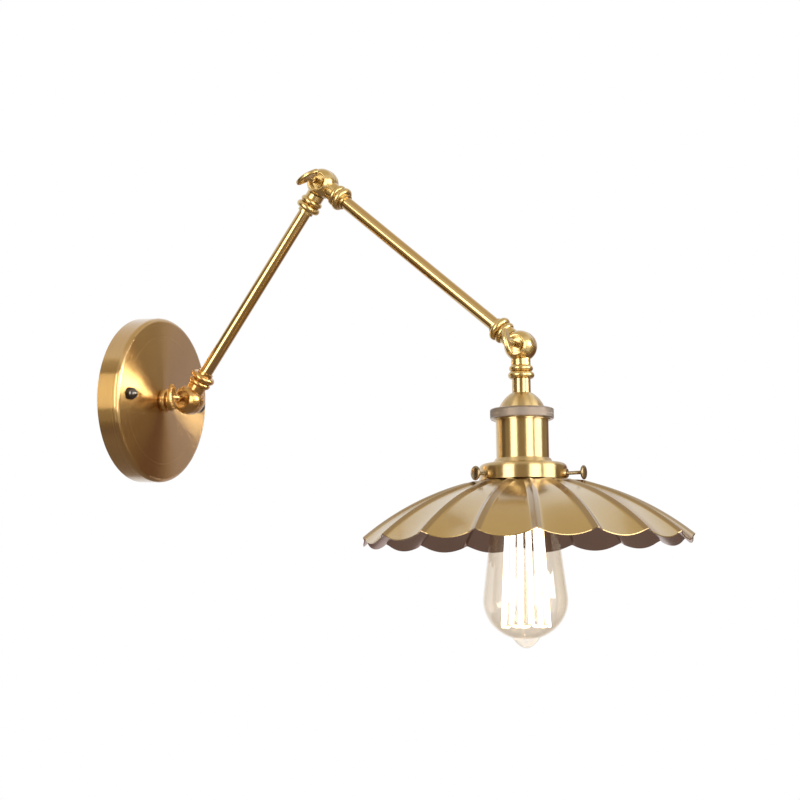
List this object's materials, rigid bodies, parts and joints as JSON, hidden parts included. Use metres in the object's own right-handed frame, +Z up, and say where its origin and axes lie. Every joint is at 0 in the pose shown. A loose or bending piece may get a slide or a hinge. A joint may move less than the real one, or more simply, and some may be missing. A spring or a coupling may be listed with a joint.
{
  "type": "swing arm wall lamp",
  "caption": "Swing arm wall lamp: round canopy, jointed tube arms on half-ball knuckles with thumb screws, knurled lamp holder and fluted metal shade over a filament bulb.",
  "frame": {"origin": "centre of the canopy's back, on the wall and between the bracket's box screws", "axes": "+Z up, +Y into the wall so the room is at -Y, +X along the bracket; the arms swing in the YZ plane"},
  "size_m": [0.2403, 0.4564, 0.3627],
  "materials": {
    "brushed_brass": "circular brushed, antique",
    "tube_brass": "satin, antique",
    "cast_brass": "polished, antique",
    "shade_brass": "satin, pale",
    "knurled_brass": "fine knurl, antique",
    "dark_brass": "dark antique",
    "zinc_steel": "zinc plated",
    "ground_green": "green",
    "washer_fibre": "matte",
    "wire_cover": "smooth",
    "connector_plastic": "matte",
    "porcelain": "glazed",
    "contact_brass": "bright",
    "base_glass": "glossy",
    "clear_glass": "clear",
    "support_wire": "bright wire",
    "filament": "glowing"
  },
  "bodies": {
    "wall_base": {"canopy": "brushed_brass", "mounting_bracket": "zinc_steel", "bracket_studs": "zinc_steel", "stud_lock_nuts": "zinc_steel", "canopy_cap_nuts": "dark_brass", "ground_screw": "ground_green", "base_nipple": "zinc_steel", "base_lock_washer": "zinc_steel", "base_hex_nut": "zinc_steel", "base_knuckle": "cast_brass", "base_friction_washer": "washer_fibre", "supply_leads": "wire_cover", "wire_connectors": "connector_plastic"},
    "lower_arm": {"lower_arm_near_knuckle": "cast_brass", "lower_arm_tube": "tube_brass", "lower_arm_far_knuckle": "cast_brass", "elbow_friction_washer": "washer_fibre", "lower_arm_wires": "wire_cover"},
    "upper_arm": {"upper_arm_near_knuckle": "cast_brass", "upper_arm_tube": "tube_brass", "upper_arm_far_knuckle": "cast_brass", "head_friction_washer": "washer_fibre", "upper_arm_wires": "wire_cover"},
    "head": {"head_knuckle": "cast_brass", "socket_neck": "tube_brass", "neck_hex_nut": "zinc_steel", "socket_cap": "cast_brass", "knurled_ring": "knurled_brass", "socket_shell": "tube_brass", "socket_insulator": "porcelain", "screw_shell": "contact_brass", "centre_contact": "contact_brass", "terminal_screws": "zinc_steel", "head_wires": "wire_cover", "shade_gallery": "cast_brass", "shade": "shade_brass"},
    "base_thumb_screw": {"base_thumb_screw": "cast_brass"},
    "elbow_thumb_screw": {"elbow_thumb_screw": "cast_brass"},
    "head_thumb_screw": {"head_thumb_screw": "cast_brass"},
    "gallery_screw_1": {"gallery_screw_1": "dark_brass"},
    "gallery_screw_2": {"gallery_screw_2": "dark_brass"},
    "gallery_screw_3": {"gallery_screw_3": "dark_brass"},
    "bulb": {"bulb_glass": "clear_glass", "bulb_screw_base": "contact_brass", "bulb_base_insulator": "base_glass", "bulb_tip_contact": "contact_brass", "bulb_stem": "clear_glass", "bulb_supports": "support_wire", "bulb_filament": "filament"}
  },
  "joints": [
    {"name": "base_tilt", "type": "hinge", "parent": "wall_base", "child": "lower_arm", "pos_m": [0, -0.0425, 0], "axis": [-1, 0, 0], "range_deg": [-146, 33]},
    {"name": "elbow_fold", "type": "hinge", "parent": "lower_arm", "child": "upper_arm", "pos_m": [0, -0.1546, 0.16936], "axis": [-1, 0, 0], "range_deg": [-11, 198]},
    {"name": "head_tilt", "type": "hinge", "parent": "upper_arm", "child": "head", "pos_m": [0, -0.32619, 0.03817], "axis": [-1, 0, 0], "range_deg": [-55, 153]},
    {"name": "base_screw_turn", "type": "hinge", "parent": "wall_base", "child": "base_thumb_screw", "pos_m": [0, -0.0425, 0], "axis": [-1, 0, 0], "range_deg": [0, 360]},
    {"name": "elbow_screw_turn", "type": "hinge", "parent": "lower_arm", "child": "elbow_thumb_screw", "pos_m": [0, -0.1546, 0.16936], "axis": [-1, 0, 0], "range_deg": [0, 360]},
    {"name": "head_screw_turn", "type": "hinge", "parent": "upper_arm", "child": "head_thumb_screw", "pos_m": [0, -0.32619, 0.03817], "axis": [-1, 0, 0], "range_deg": [0, 360]},
    {"name": "gallery_screw_turn_1", "type": "hinge", "parent": "head", "child": "gallery_screw_1", "pos_m": [0.03464, -0.31189, -0.05825], "axis": [0.866, 0.4991, -0.0297], "range_deg": [0, 360]},
    {"name": "gallery_screw_turn_2", "type": "hinge", "parent": "head", "child": "gallery_screw_2", "pos_m": [-0.03464, -0.31189, -0.05825], "axis": [-0.866, 0.4991, -0.0297], "range_deg": [0, 360]},
    {"name": "gallery_screw_turn_3", "type": "hinge", "parent": "head", "child": "gallery_screw_3", "pos_m": [0, -0.37178, -0.05469], "axis": [0, -0.9982, 0.0593], "range_deg": [0, 360]},
    {"name": "bulb_turn", "type": "hinge", "parent": "head", "child": "bulb", "pos_m": [0, -0.33212, -0.06166], "axis": [0, -0.0593, -0.9982], "range_deg": [0, 360]}
  ]
}
